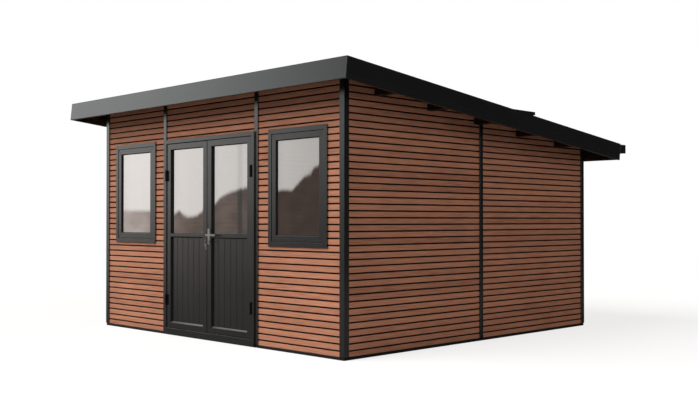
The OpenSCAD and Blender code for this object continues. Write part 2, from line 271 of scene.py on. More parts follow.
@dataclass(frozen=True)
class Composite(Finish):
    """Brushed wood composite whose grain runs level along the board."""

    deep: Point = (0.2, 0.08, 0.05)
    grain_amount: float = 0.5

    def build(self, shader: Shader) -> None:
        """Long level grain, brushed lines and a tone for each board."""
        grain = shader.noise(7.0, 6.0, (0.7, 0.7, 26.0))
        brushed = shader.noise(60.0, 3.0, (0.35, 0.35, 9.0))
        cloud = shader.noise(1.6, 2.0)
        tone = shader.node("Attribute", {"attribute_name": "tone"}, output="Fac")
        depth = (grain.rise(0.3, 0.42) * self.grain_amount
                 + tone + (cloud - 0.5) * 0.5).clamped()
        colour = shader.mix(depth, self.deep, self.colour)
        flecks = shader.noise(160.0, 2.0, (0.5, 0.5, 2.5)).rise(0.62, 0.18)
        colour = shader.mix(flecks * 0.28, colour, self.deep)
        shader.surface(Base_Color=colour, Roughness=self.roughness + 0.16 * brushed,
                       Normal=shader.bump(brushed, 0.35, 0.0012))


@dataclass(frozen=True)
class PowderCoat(Finish):
    """Fine-textured powder coat on metal."""

    dust: Point = (0.11, 0.107, 0.104)
    ior: float = 1.9

    def build(self, shader: Shader) -> None:
        """Orange peel, slight changes in gloss and dust where it faces up."""
        peel = shader.noise(900.0, 2.0)
        broad = shader.noise(2.2, 3.0)
        speck = shader.noise(240.0, 2.0).rise(0.66, 0.1)
        colour = shader.mix(broad, self.shade(0.86), self.shade(1.12))
        settled = shader.upward() * (0.12 + 0.3 * shader.noise(14.0, 4.0))
        colour = shader.mix((settled + speck * 0.04).clamped(), colour, self.dust)
        gloss = self.roughness + 0.08 * broad + 0.12 * settled
        shader.surface(Base_Color=colour, Roughness=gloss, IOR=self.ior, Specular_Tint=COAT_TINT,
                       Normal=shader.bump(peel, 0.12, 0.0004))


@dataclass(frozen=True)
class Rubber(Finish):
    """Matt seal, or a near-black colour that is painted shade in grooves and gaps."""

    def build(self, shader: Shader) -> None:
        """Faintly mottled, with a fine grain."""
        mottle = shader.noise(120.0, 3.0)
        colour = shader.mix(mottle, self.shade(0.7), self.shade(1.3))
        shader.surface(Base_Color=colour, Roughness=self.roughness + 0.1 * mottle,
                       Normal=shader.bump(mottle, 0.2, 0.0004))


@dataclass(frozen=True)
class Steel(Finish):
    """Satin steel, brushed upwards."""

    def build(self, shader: Shader) -> None:
        """Brush marks in gloss and relief."""
        marks = shader.noise(160.0, 3.0, (6.0, 6.0, 0.5))
        colour = shader.mix(marks, self.shade(0.88), self.colour)
        shader.surface(Base_Color=colour, Metallic=1.0, Roughness=self.roughness + 0.14 * marks,
                       Normal=shader.bump(marks, 0.1, 0.0003))


@dataclass(frozen=True)
class CoatedGlass(Finish):
    """Mirror-coated double glazing with a slightly uneven float surface."""

    clearness: float = 0.2

    def build(self, shader: Shader) -> None:
        """A strong reflection over a dim view of the inside."""
        film = shader.noise(1.3, 2.0)
        smear = shader.noise(9.0, 4.0, (1.0, 1.0, 0.25)).rise(0.55, 0.3)
        colour = shader.mix(film, self.shade(0.95), self.colour)
        shader.surface(Base_Color=colour, Metallic=1.0, Roughness=self.roughness + 0.05 * smear,
                       Alpha=1.0 - self.clearness * (1.0 - 0.3 * smear))


@dataclass(frozen=True)
class Membrane(Finish):
    """Mineral-faced roof sheet."""

    def build(self, shader: Shader) -> None:
        """Granules, weathered patches and faint runs down the slope."""
        grit = shader.noise(420.0, 2.0)
        patch = shader.noise(2.5, 5.0)
        runs = shader.noise(7.0, 4.0, (3.0, 0.25, 1.0))
        worn = (patch.rise(0.4, 0.35) * 0.5 + (runs - 0.5) * 0.4).clamped()
        colour = shader.mix(worn, self.colour, self.shade(1.7, 0.01))
        colour = shader.mix(grit.rise(0.55, 0.15) * 0.5, colour, self.shade(2.4))
        shader.surface(Base_Color=colour, Roughness=self.roughness + 0.1 * grit,
                       Normal=shader.bump(grit, 0.5, 0.0015))


SLATS = Composite("brown_composite", Slot.SLATS, (0.54, 0.25, 0.156), 0.56, grain_amount=0.7)
# Painted shade: a near-black colour for the slats' groove faces and the floor's underlay, standing in for
# the shade inside grooves and gaps.
GROOVE_SHADE = Rubber("painted_groove_shade", Slot.SLATS, (0.006, 0.0032, 0.0026), 0.9)
FLOOR = Composite("floor_composite", Slot.FLOOR, (0.33, 0.24, 0.17), 0.6, (0.17, 0.115, 0.08))
FRAME = PowderCoat("anthracite_coat", Slot.FRAME, (0.0095, 0.01, 0.0107), 0.2, (0.035, 0.034, 0.033), 2.2)
# Painted highlight: a light, warm copy of the anthracite coat for the panel's foot bead, standing for the
# light its sloped top catches.
FOOT_HIGHLIGHT = PowderCoat("foot_bead_painted_highlight", Slot.FRAME, (0.085, 0.08, 0.07), 0.24, (0.085, 0.08, 0.07), 2.2)
POST = PowderCoat("post_coat", Slot.FRAME, (0.0085, 0.009, 0.0096), 0.2, (0.03, 0.03, 0.029), 2.5)
BEAD = PowderCoat("bead_coat", Slot.FRAME, (0.012, 0.012, 0.0125), 0.24, (0.012, 0.012, 0.0125), 2.1)
PURLIN = PowderCoat("purlin_coat", Slot.FRAME, (0.006, 0.006, 0.0065), 0.45, ior=1.5)
GUTTER = PowderCoat("gutter_coat", Slot.GUTTER, (0.0105, 0.011, 0.0118), 0.28, (0.05, 0.049, 0.047), 2.1)
BASE = PowderCoat("black_base", Slot.BASE, (0.008, 0.008, 0.0085), 0.5, (0.04, 0.038, 0.036), 1.5)
VENT = PowderCoat("vent_coat", Slot.ROOF, (0.012, 0.012, 0.013), 0.42, ior=1.6)
ROOF = Membrane("roof_sheet", Slot.ROOF, (0.055, 0.057, 0.062), 0.78)
SOFFIT = PowderCoat("soffit_paint", Slot.ROOF, (0.004, 0.0042, 0.005), 0.7, (0.004, 0.004, 0.005), 1.06)
SEAL = Rubber("black_seal", Slot.BLACK, (0.008, 0.008, 0.009), 0.7)
HINGE = PowderCoat("black_satin", Slot.BLACK, (0.003, 0.003, 0.0035), 0.4, (0.01, 0.01, 0.01), 1.4)
STEEL = Steel("satin_steel", Slot.SILVER, (0.66, 0.67, 0.68), 0.2)
GLASS = CoatedGlass("coated_glass", Slot.GLASS, (0.87, 0.87, 0.87), 0.015)


# --- Mesh building ---


class Piece:
    """A mesh under construction."""

    def __init__(self, name: str, body: Body, *finishes: Finish) -> None:
        """Starts an empty mesh; its faces take the first finish unless set otherwise."""
        self.name = name
        self.body = body
        self.finishes = finishes
        self.bm = bmesh.new()

    def _soften(self, edges: Iterable[bmesh.types.BMEdge], radius: float, segments: int) -> None:
        """Rounds edges off."""
        bmesh.ops.bevel(self.bm, geom=list(edges), offset=radius, segments=segments, profile=0.5,
                        affect="EDGES", clamp_overlap=True, material=-1)

    def block(self, low: Coords, high: Coords, radius: float = 0.0,
              segments: int = 2, turn: Matrix | None = None) -> set[bmesh.types.BMFace]:
        """Adds a box between two corners.

        Args:
            low: the lowest corner.
            high: the highest corner.
            radius: rounding of its edges, in metres.
            segments: faces across the rounding.
            turn: a transform applied afterwards.

        Returns:
            The box's faces.
        """
        before = set(self.bm.faces)
        low, high = Vector(low), Vector(high)
        place = Matrix.Translation((low + high) / 2) @ Matrix.Diagonal((*(high - low), 1.0))
        verts = bmesh.ops.create_cube(self.bm, size=1.0, matrix=(turn or Matrix()) @ place)["verts"]
        if radius:
            self._soften({e for v in verts for e in v.link_edges}, radius, segments)
        return set(self.bm.faces) - before

    def prism(self, outline: Sequence[Coords], sweep: Coords, radius: float = 0.0,
              segments: int = 2) -> list[bmesh.types.BMFace]:
        """Sweeps a flat outline along a straight line.

        Args:
            outline: corners of the outline, in order.
            sweep: the way to its other end.
            radius: rounding of all edges.
            segments: faces across the rounding.

        Returns:
            The faces, if nothing is rounded.
        """
        verts = [self.bm.verts.new(p) for p in outline]
        face = self.bm.faces.new(verts)
        grown = bmesh.ops.extrude_face_region(self.bm, geom=[face])["geom"]
        moved = [g for g in grown if isinstance(g, bmesh.types.BMVert)]
        bmesh.ops.translate(self.bm, verts=moved, vec=Vector(sweep))
        faces = list({f for v in verts + moved for f in v.link_faces})
        bmesh.ops.recalc_face_normals(self.bm, faces=faces)
        if radius:
            self._soften({e for f in faces for e in f.edges}, radius, segments)
            return []
        return faces

    def rod(self, centre: Coords, direction: Coords, radius: float, length: float,
            segments: int = 20, bevel: float = 0.0) -> None:
        """Adds a cylinder centred on a point, along a direction."""
        turn = Vector(direction).to_track_quat("Z", "Y").to_matrix().to_4x4()
        made = bmesh.ops.create_cone(self.bm, cap_ends=True, segments=segments, radius1=radius,
                                     radius2=radius, depth=length,
                                     matrix=Matrix.Translation(centre) @ turn)
        if bevel:
            edges = {e for v in made["verts"] for e in v.link_edges}
            rims = {e for e in edges if any(len(f.verts) > 4 for f in e.link_faces)}
            self._soften(rims, bevel, 2)

    def hoop(self, centre: Coords, turn: Matrix, radius: float, wire: float,
             segments: int = 20) -> None:
        """Adds a wire ring, spun about the turned Z axis."""
        before = set(self.bm.verts)
        start = Matrix.Translation((radius, 0.0, 0.0)) @ Matrix.Rotation(math.pi / 2, 4, "X")
        rim = bmesh.ops.create_circle(self.bm, segments=8, radius=wire, matrix=start)["verts"]
        edges = list({e for v in rim for e in v.link_edges})
        bmesh.ops.spin(self.bm, geom=rim + edges, cent=(0.0, 0.0, 0.0), axis=(0.0, 0.0, 1.0),
                       angle=math.tau, steps=segments, use_merge=True)
        made = [v for v in self.bm.verts if v not in before]
        faces = list({f for v in made for f in v.link_faces})
        bmesh.ops.recalc_face_normals(self.bm, faces=faces)
        bmesh.ops.transform(self.bm, matrix=Matrix.Translation(centre) @ turn, verts=made)

    def mitred(self, low: Coords, high: Coords,
               borders: tuple[float, float, float, float], radius: float) -> None:
        """Adds four mitred members round a rectangle in the XZ plane.

        Args:
            low: the outer rectangle's lowest corner.
            high: its highest corner.
            borders: widths of the left, right, lower and upper member.
            radius: rounding of each member's edges.
        """
        left, right, lower, upper = borders
        (x0, y0, z0), (x1, y1, z1) = low, high
        outer = [(x0, z0), (x1, z0), (x1, z1), (x0, z1)]
        inner = [(x0 + left, z0 + lower), (x1 - right, z0 + lower), (x1 - right, z1 - upper),
                 (x0 + left, z1 - upper)]
        for i in range(4):
            j = (i + 1) % 4
            corners = (outer[i], outer[j], inner[j], inner[i])
            self.prism([(x, y0, z) for x, z in corners], (0.0, y1 - y0, 0.0), radius)

    def copy_node(self, node: str, radius: float, segments: int = 2) -> None:
        """Adds a CAD node's shape with its sharp edges rounded."""
        flat, sharp = math.radians(0.5), math.radians(25)
        self.bm.from_mesh(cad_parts[node].data)
        bmesh.ops.remove_doubles(self.bm, verts=self.bm.verts, dist=1e-5)
        bmesh.ops.dissolve_limit(self.bm, angle_limit=flat, verts=self.bm.verts, edges=self.bm.edges)
        edges = [e for e in self.bm.edges if e.is_manifold and e.calc_face_angle(0.0) > sharp]
        self._soften(edges, radius, segments)

    def cut_above(self, point: Vector, normal: Vector) -> None:
        """Cuts off what lies past a plane and closes the cut."""
        everything = self.bm.verts[:] + self.bm.edges[:] + self.bm.faces[:]
        cut = bmesh.ops.bisect_plane(self.bm, geom=everything, plane_co=point, plane_no=normal,
                                     clear_outer=True)["geom_cut"]
        edges = [g for g in cut if isinstance(g, bmesh.types.BMEdge)]
        if edges:
            bmesh.ops.edgeloop_fill(self.bm, edges=edges)

    def done(self, *replaced: str) -> None:
        """Makes the object, dresses it, sets its body and hides the CAD nodes it replaces."""
        mesh = bpy.data.meshes.new(self.name)
        self.bm.to_mesh(mesh)
        self.bm.free()
        for finish in self.finishes:
            mesh.materials.append(finish.material())
        piece = bpy.data.objects.new(self.name, mesh)
        bpy.context.scene.collection.objects.link(piece)
        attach(piece, self.body.value)
        if replaced:
            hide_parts(*replaced)
        log.info("%s: %d faces", self.name, len(mesh.polygons))


def soften_node(node: str, name: str, body: Body, finish: Finish, radius: float, segments: int = 2) -> None:
    """Replaces a CAD node by its own shape with rounded edges."""
    piece = Piece(name, body, finish)
    piece.copy_node(node, radius, segments)
    piece.done(node)


def dress_node(node: str, finish: Finish) -> None:
    """Gives a CAD node that stays its finish."""
    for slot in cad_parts[node].material_slots:
        slot.material = finish.material()


# --- Roof ---


@dataclass
class Roof:
    """The sloping roof with its boards, sheet, fascias and purlins."""

    pitch: float = math.radians(6.03)
    fascia_t: float = 0.025
    deck_drop: float = 0.012
    deck_t: float = 0.028
    board_w: float = 0.121
    sheet_w: float = 1.09
    sheet_t: float = 0.004
    sheet_lap: float = 0.08
    flashing: float = 0.045
    flashing_rise: float = 0.009

    def __post_init__(self) -> None:
        """Finds the slope's own frame from the front fascia."""
        low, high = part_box("front_fascia")
        sin, cos = math.sin(self.pitch), math.cos(self.pitch)
        self.fascia_h = (high.z - low.z - self.fascia_t * sin) / cos
        self.half_w = high.x
        top = Vector((0.0, low.y + self.fascia_h * sin, high.z))
        self.slope = Matrix.Translation(top) @ Matrix.Rotation(-self.pitch, 4, "X")
        self.length = (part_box("left_fascia")[1].y - top.y) / cos
        self.normal = self.slope.to_3x3() @ Vector((0.0, 0.0, 1.0))
        self.half_deck = self.half_w - self.fascia_t
        self.sweep = self.at(0.0, self.length - self.fascia_t, 0.0) - self.at(0.0, self.fascia_t, 0.0)

    def at(self, x: float, down: float, up: float) -> Vector:
        """A point given across, down the slope and square to it."""
        return self.slope @ Vector((x, down, up))

    def cut(self, piece: Piece) -> None:
        """Ends a wall or post under the deck."""
        piece.cut_above(self.at(0.0, 0.0, -self.deck_drop - self.deck_t), self.normal)

    def build(self) -> None:
        """Makes every piece of the roof."""
        self.boards()
        self.sheet()
        soften_node("purlins", "purlin_beams", Body.SHED, PURLIN, 0.002)
        for node in ("front_fascia", "rear_fascia", "left_fascia", "right_fascia"):
            soften_node(node, node + "_panel", Body.SHED, FRAME, 0.0015)
        self.capping()

    def boards(self) -> None:
        """Roof boards down the slope, with chamfers that show from below."""
        piece = Piece("roof_boards", Body.SHED, SOFFIT)
        half = self.half_deck
        count = round(2 * half / self.board_w)
        width = 2 * half / count
        top, under, chamfer = -self.deck_drop, -self.deck_drop - self.deck_t, 0.004
        for i in range(count):
            x0 = -half + i * width
            x1 = x0 + width
            corners = [(x0, top), (x0, under + chamfer), (x0 + chamfer, under), (x1 - chamfer, under),
                       (x1, under + chamfer), (x1, top)]
            piece.prism([self.at(x, self.fascia_t, up) for x, up in corners], self.sweep)
        piece.done("roof_deck")

    def sheet(self) -> None:
        """Lapped sheets on the boards, turned up at the sides and the front."""
        piece = Piece("roof_sheet_laps", Body.SHED, ROOF)
        half = self.half_deck
        count = round(2 * half / self.sheet_w)
        width = 2 * half / count
        base = -self.deck_drop
        apart, lapped = 0.0004, 0.003
        for i in range(count):
            x0 = -half + i * width
            x1 = x0 + width + (self.sheet_lap if i < count - 1 else 0.0)
            low = (x0, self.fascia_t, base + i * apart)
            high = (x1, self.length - self.fascia_t, base + self.sheet_t + (i % 2) * lapped)
            piece.block(low, high, 0.0012, 1, self.slope)
        rise, crest = base + self.flashing_rise, 0.3
        for x in (-half, half):
            inward = math.copysign(self.flashing, -x)
            corners = [(x, base), (x + inward, base), (x + inward * crest, rise), (x, rise)]
            piece.prism([self.at(a, self.fascia_t, b) for a, b in corners], self.sweep)
        corners = [(0.0, base), (self.flashing, base), (self.flashing * crest, rise), (0.0, rise)]
        piece.prism([self.at(-half, self.fascia_t + a, b) for a, b in corners], (2 * half, 0.0, 0.0))
        piece.done()

    def capping(self) -> None:
        """Folded capping along the fascias' top edges and a drip fold along their feet."""
        piece = Piece("fascia_capping", Body.SHED, FRAME)
        thick, inside, lip, over = 0.0025, 0.038, 0.014, 0.0008
        fold, turn_up = 0.02, 0.012
        depth = -self.fascia_h
        for sign in (-1, 1):
            x = sign * self.half_w
            strips = [((0.0, 0.0), (-inside, thick)), ((-inside, -lip), (-inside + thick, 0.0)),
                      ((-fold, depth - thick), (0.0, depth)),
                      ((-fold, depth), (-fold + thick, depth + turn_up))]
            for (a, low), (b, high) in strips:
                xs = sorted((x + sign * (a + over * (a == 0.0)), x + sign * (b + over * (b == 0.0))))
                piece.block((xs[0], 0.0, low), (xs[1], self.length, high), 0.0004, 1, self.slope)
        edges = [((-over, 0.0), (inside, thick)), ((inside - thick, -lip), (inside, 0.0)),
                 ((0.0, depth - thick), (fold, depth))]
        for (a, low), (b, high) in edges:
            piece.block((-self.half_w, a, low), (self.half_w, b, high), 0.0008, 1, self.slope)
        piece.done()


# --- Walls ---


@dataclass
class Cladding:
    """Walls of level slats on tongues, between posts."""

    roof: Roof
    pitch: float = 0.059
    slat_h: float = 0.0455
    first: float = 0.02225
    round_off: float = 0.003
    tongue_at: float = 0.012
    tongue_t: float = 0.008
    tone: float = 0.3
    tone_spread: float = 0.09
    seed: int = 11

    def __post_init__(self) -> None:
        """Starts the seeded draw of board tones."""
        self.random = random.Random(self.seed)

    def outline(self, z: float, thickness: float) -> list[tuple[float, float]]:
        """Section of one board.

        Args:
            z: height of its lower edge.
            thickness: of the wall.

        Returns:
            Points of depth behind the outer face, and height.
        """
        r, top, back = self.round_off, z + self.slat_h, self.tongue_at + self.tongue_t
        chord = 0.3 * r
        tip = z + self.pitch
        return [(r, z), (chord, z + chord), (0.0, z + r), (0.0, top - r), (chord, top - chord),
                (r, top), (self.tongue_at, top), (self.tongue_at, tip), (back, tip), (back, top),
                (thickness, top), (thickness, z)]

    def wall(self, node: str, along: int, outward: int, window: tuple | None = None) -> None:
        """Makes one wall.

        Args:
            node: the CAD node that it stands for.
            along: 0 where the boards run along x, 1 along y.
            outward: sign of the outer side.
            window: lowest and highest corner of an opening, if there is one.
        """
        low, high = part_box(node)
        across = 1 - along
        face = low[across] if outward < 0 else high[across]
        thickness = high[across] - low[across]
        piece = Piece(node + "_slats", Body.SHED, SLATS, GROOVE_SHADE)
        tone_layer = piece.bm.faces.layers.float.new("tone")
        k = max(0, math.floor((low.z - self.first) / self.pitch))
        z = self.first + k * self.pitch
        while z < high.z:
            tone = self.random.gauss(self.tone, self.tone_spread)
            for start, end, bottom, top in self.runs(low, high, along, z, window):
                self.board(piece, tone_layer, tone, z, (start, end), (bottom, top), face,
                           thickness, along, outward)
            z += self.pitch
        self.roof.cut(piece)
        piece.done(node)

    def runs(self, low: Vector, high: Vector, along: int, z: float, window: tuple | None) -> list[tuple]:
        """Stretches of one board as start, end, lowest and highest z."""
        whole = (low[along], high[along], low.z, high.z)
        if window is None or z + self.pitch <= window[0].z or z >= window[1].z:
            return [whole]
        left, right = window[0][along], window[1][along]
        found = [(low[along], left, low.z, high.z), (right, high[along], low.z, high.z)]
        if z < window[0].z:
            found.append((left, right, low.z, window[0].z))
        if z + self.pitch > window[1].z:
            found.append((left, right, window[1].z, high.z))
        return found

    def board(self, piece: Piece, tone_layer: bmesh.types.BMLayerItem, tone: float, z: float,
              run: tuple[float, float], heights: tuple[float, float], face: float, thickness: float,
              along: int, outward: int) -> None:
        """Adds one stretch of a board to a wall's mesh."""
        same, thinnest = 1e-5, 0.001
        held = []
        for depth, height in self.outline(z, thickness):
            point = (depth, min(max(height, heights[0]), heights[1]))
            if not held or (Vector(point) - Vector(held[-1])).length > same:
                held.append(point)
        if max(h for _, h in held) - min(h for _, h in held) < thinnest:
            return
        start, end = run
        outline = []
        for depth, height in held:
            place = (start, face - outward * depth)
            outline.append((*(place if along == 0 else place[::-1]), height))
        sweep = (end - start, 0.0, 0.0) if along == 0 else (0.0, end - start, 0.0)
        for part in piece.prism(outline, sweep):
            depth = (face - part.calc_center_median()[1 - along]) * outward
            at_end = abs(part.normal[along]) > 0.5
            part[tone_layer] = tone
            # Painted shade: faces inside the groove, the top ledges included, take the near-black groove
            # colour.
            painted_shade_face = self.round_off < depth < thickness - self.round_off
            part.material_index = int(painted_shade_face and not at_end)

    def build(self) -> None:
        """Makes all nine walls."""
        lap = Vector((WINDOW_LAP, 0.0, WINDOW_LAP))
        for side in Side:
            low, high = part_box(side.word + "_window_frame")
            self.wall("front_wall_" + side.word, 0, -1, (low + lap, high - lap))
        self.wall("front_wall_over_door", 0, -1)
        for side in Side:
            for end in ("front", "back"):
                self.wall(f"{side.word}_wall_{end}", 1, side.value)
            self.wall("back_wall_" + side.word, 0, 1)


@dataclass
class Skeleton:
    """Posts, base and floor."""

    roof: Roof
    floor_board: float = 0.142
    floor_board_t: float = 0.012
    floor_gap: float = 0.004
    past_roof: float = 0.02

    def build(self) -> None:
        """Makes the posts, the base frame and the floor."""
        for place in ("front_left", "front_right", "back_left", "back_right", "left_door",
                      "right_door", "left_middle", "right_middle", "back_middle"):
            node = place + "_post"
            piece = Piece(node + "_profile", Body.SHED, POST)
            low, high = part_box(node)
            piece.block(low, high + Vector((0.0, 0.0, self.past_roof)), 0.002)
            self.roof.cut(piece)
            piece.done(node)
        soften_node("base_frame", "base_strip", Body.SHED, BASE, 0.0015)
        self.floor()

    def floor(self) -> None:
        """Floor boards over an underlay whose near-black colour is painted shade in the gaps."""
        low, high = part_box("floor_deck")
        piece = Piece("floor_boards", Body.SHED, FLOOR, GROOVE_SHADE)
        tone_layer = piece.bm.faces.layers.float.new("tone")
        draw = random.Random(5)
        count = round((high.y - low.y) / self.floor_board)
        width = (high.y - low.y) / count
        under = high.z - self.floor_board_t
        inset = self.floor_gap / 2
        for i in range(count):
            y = low.y + i * width
            faces = piece.block((low.x, y + inset, under), (high.x, y + width - inset, high.z), 0.002)
            tone = draw.gauss(0.3, 0.12)
            for part in faces:
                part[tone_layer] = tone
        # Painted shade: the underlay takes the near-black groove colour that shows between the boards.
        for part in piece.block(low, (high.x, high.y, under)):
            part.material_index = 1
        piece.done("floor_deck")


# --- Windows and door ---

SEAL_W = 0.006
SEAL_PROUD = 0.004
REBATE = 0.008
BACKING_W = 0.002
LINER_T = 0.0012


def add_glazing_seals(piece: Piece, inner: Vector, outer: Vector, glass: Sequence[Vector],
                      front: float) -> None:
    """Adds a pane's seals, the liners of its reveal and the dark backing of its rebate.

    Args:
        piece: the mesh that they go into.
        inner: lowest corner of the opening.
        outer: its highest corner.
        glass: both corners of the pane.
        front: depth where the liners start.
    """
    near, far = glass[0].y, glass[1].y
    for y0, y1 in ((near - SEAL_PROUD, near), (far, far + SEAL_PROUD)):
        piece.mitred((inner.x, y0, inner.z), (outer.x, y1, outer.z), (SEAL_W,) * 4, 0.0006)
    for x in (inner.x, outer.x - LINER_T):
        piece.block((x, front, inner.z), (x + LINER_T, near, outer.z))
    piece.mitred((inner.x - REBATE, near, inner.z - REBATE),
                 (outer.x + REBATE, far, outer.z + REBATE), (BACKING_W,) * 4, 0.0)


@dataclass
class Windows:
    """Fixed windows with mitred trim, sash, seals and glass."""

    trim_w: float = 0.044
    trim_proud: float = 0.014
    sash_w: float = 0.058
    sash_gap: float = 0.003
    glass_play: float = 0.001

    def build(self) -> None:
        """Makes both windows."""
        for side in Side:
            self.window(side.word)

    def window(self, word: str) -> None:
        """Makes one window."""
        low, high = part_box(word + "_window_frame")
        proud = low.y + self.trim_proud
        piece = Piece(word + "_window_trim", Body.SHED, FRAME)
        piece.mitred(low, (high.x, proud, high.z), (self.trim_w,) * 4, 0.0015)
        lap = Vector((WINDOW_LAP, 0.0, WINDOW_LAP))
        body = low + lap
        piece.mitred((body.x, proud, body.z), high - lap, (self.trim_w - WINDOW_LAP,) * 4, 0.0008)
        piece.done(word + "_window_frame")

        low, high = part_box(word + "_window_sash")
        gap = Vector((self.sash_gap, 0.0, self.sash_gap))
        piece = Piece(word + "_window_casement", Body.SHED, FRAME)
        sash = (self.sash_w - self.sash_gap,) * 4
        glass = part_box(word + "_window_glass")
        near, far = glass[0].y - self.glass_play, glass[1].y + self.glass_play
        piece.mitred(low + gap, (high.x - gap.x, near, high.z - gap.z), sash, 0.002)
        piece.mitred((low.x + gap.x, far, low.z + gap.z), high - gap, sash, 0.0015)
        piece.done(word + "_window_sash")

        piece = Piece(word + "_window_seals", Body.SHED, SEAL)
        piece.mitred((low.x, low.y + 0.006, low.z), (high.x, high.y - 0.004, high.z),
                     (self.sash_gap + 0.001,) * 4, 0.0)
        opening = Vector((self.sash_w, 0.0, self.sash_w))
        add_glazing_seals(piece, low + opening, high - opening, glass, low.y + 0.003)
        piece.done()
        dress_node(word + "_window_glass", GLASS)


@dataclass
class Door:
    """Double door: frame, leaves with tongue-and-groove panels, seals, hinges and handle."""

    boards: int = 6
    groove: float = 0.005
    joint: float = 0.0045
    sill_h: float = 0.012
    screw_r: float = 0.0036

    def build(self) -> None:
        """Makes the frame, both leaves and what is on them."""
        soften_node("door_frame", "door_surround", Body.SHED, FRAME, 0.0018)
        for side in Side:
            self.leaf(side)
            self.panel(side)
            self.seals(side)
            for half, body in (("_jamb_hinges", Body.SHED), ("_door_hinges", side.door_body)):
                node = side.word + half
                soften_node(node, node + "_black", body, HINGE, 0.0012)
            dress_node(side.word + "_door_glass", GLASS)
        self.handle()

    def leaf(self, side: Side) -> None:
        """One leaf with sloped beads at the foot of its glass and of its panel; the panel's bead is
        coloured light as a painted highlight.
        """
        word = side.word
        soften_node(word + "_door_leaf", word + "_door_frame_profile", side.door_body, FRAME, 0.0018)
        piece = Piece(word + "_door_beads", side.door_body, BEAD, FOOT_HIGHLIGHT)
        shapes = (("_door_glass", 0.003, self.sill_h * 0.6), ("_door_panel", 0.013, self.sill_h))
        sunk, nose = 0.001, 0.0015
        for kind, (node, run, rise) in enumerate(shapes):
            low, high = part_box(word + node)
            x0, x1, z = low.x + REBATE, high.x - REBATE, low.z + REBATE
            section = [(low.y - run, z - sunk), (low.y - run, z + nose), (low.y, z + rise),
                       (low.y, z - sunk)]
            # Kind 1, the panel's foot bead, takes the light painted-highlight coat.
            for part in piece.prism([(x0, y, h) for y, h in section], (x1 - x0, 0.0, 0.0)):
                part.material_index = kind
        piece.done()

    def panel(self, side: Side) -> None:
        """Upright boards with V joints."""
        node = side.word + "_door_panel"
        low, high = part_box(node)
        piece = Piece(side.word + "_door_boards", side.door_body, FRAME, SEAL)
        start, end = low.x + REBATE, high.x - REBATE
        width = (end - start) / self.boards
        v = self.groove
        for i in range(self.boards):
            x0 = low.x if i == 0 else start + i * width + self.joint / 2
            x1 = high.x if i == self.boards - 1 else start + (i + 1) * width - self.joint / 2
            section = [(x0, high.y - v), (x0, low.y + v), (x0 + v, low.y), (x1 - v, low.y),
                       (x1, low.y + v), (x1, high.y - v), (x1 - v, high.y), (x0 + v, high.y)]
            piece.prism([(x, y, low.z) for x, y in section], (0.0, 0.0, high.z - low.z))
        inset = Vector((0.001, 0.008, 0.001))
        for part in piece.block(low + inset, high - inset):
            part.material_index = 1
        piece.done(node)

    def seals(self, side: Side) -> None:
        """Seals round the glass, and near-black strips over and beside the panel that are painted shadow.
        """
        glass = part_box(side.word + "_door_glass")
        piece = Piece(side.word + "_door_seals", side.door_body, SEAL)
        edge = Vector((REBATE, 0.0, REBATE))
        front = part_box(side.word + "_door_leaf")[0].y + 0.003
        add_glazing_seals(piece, glass[0] + edge, glass[1] - edge, glass, front)
        low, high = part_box(side.word + "_door_panel")
        # Painted shadow: two near-black strips in the panel's recess, under the rail and down the left
        # stile, stand for the shade these cast.
        start, end, top = low.x + REBATE, high.x - REBATE, high.z - REBATE
        near, far = low.y - 0.012, low.y + 0.001
        piece.block((start, near, top - 0.009), (end, far, top + 0.0005))
        piece.block((start, near, low.z + REBATE), (start + 0.005, far, top))
        piece.done()

    def handle(self) -> None:
        """Plates with screws, the keys, and the levers."""
        piece = Piece("handle_backplates", Body.RIGHT_DOOR, STEEL)
        piece.copy_node("handle_plates", 0.0015)
        low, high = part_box("handle_plates")
        leaf_low, leaf_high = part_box("right_door_leaf")
        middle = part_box("door_lever")[0].x + 0.01
        from_end, out = 0.012, 0.0085
        for z in (high.z - from_end, low.z + from_end):
            for y in (leaf_low.y - out, leaf_high.y + out):
                piece.rod((middle, y, z), Y_AXIS, self.screw_r, 0.003, 16, 0.0006)
        piece.done("handle_plates")
        self.keys(middle, low.y, low.z + 0.028)
        soften_node("door_lever", "lever_handles", Body.LEVER, STEEL, 0.003, 3)

    def keys(self, x: float, tip: float, z: float) -> None:
        """The key's round bow on its blade, and a spare key that hangs from it on a split ring."""
        piece = Piece("door_keys", Body.RIGHT_DOOR, STEEL)
        bow = (x, tip - 0.006, z)
        piece.rod(bow, (1.0, 0.0, 0.0), 0.013, 0.0032, 24, 0.0005)
        link = (x, tip - 0.012, z - 0.016)
        piece.hoop(link, Matrix.Rotation(math.radians(78), 4, "X"), 0.013, 0.0011)
        lean = Matrix.Rotation(math.radians(-14), 4, "Y")
        spare = Matrix.Translation((x, tip - 0.011, z - 0.03)) @ lean
        piece.rod(spare @ Vector((0.0, 0.0, -0.008)), lean.to_3x3() @ Vector(Y_AXIS), 0.011, 0.0026,
                  24, 0.0005)
        half_t, half_w = 0.0012, 0.0035
        piece.block((-half_w, -half_t, -0.05), (half_w, half_t, -0.012), 0.0004, 1, spare)
        for i in range(4):
            cut, foot = 0.005 + 0.0009 * (i % 2), -0.048 + i * 0.006
            piece.block((0.003, -half_t, foot), (cut, half_t, foot + 0.003), 0.0, 1, spare)
        piece.done()


# --- Gutter, downpipe and vent ---


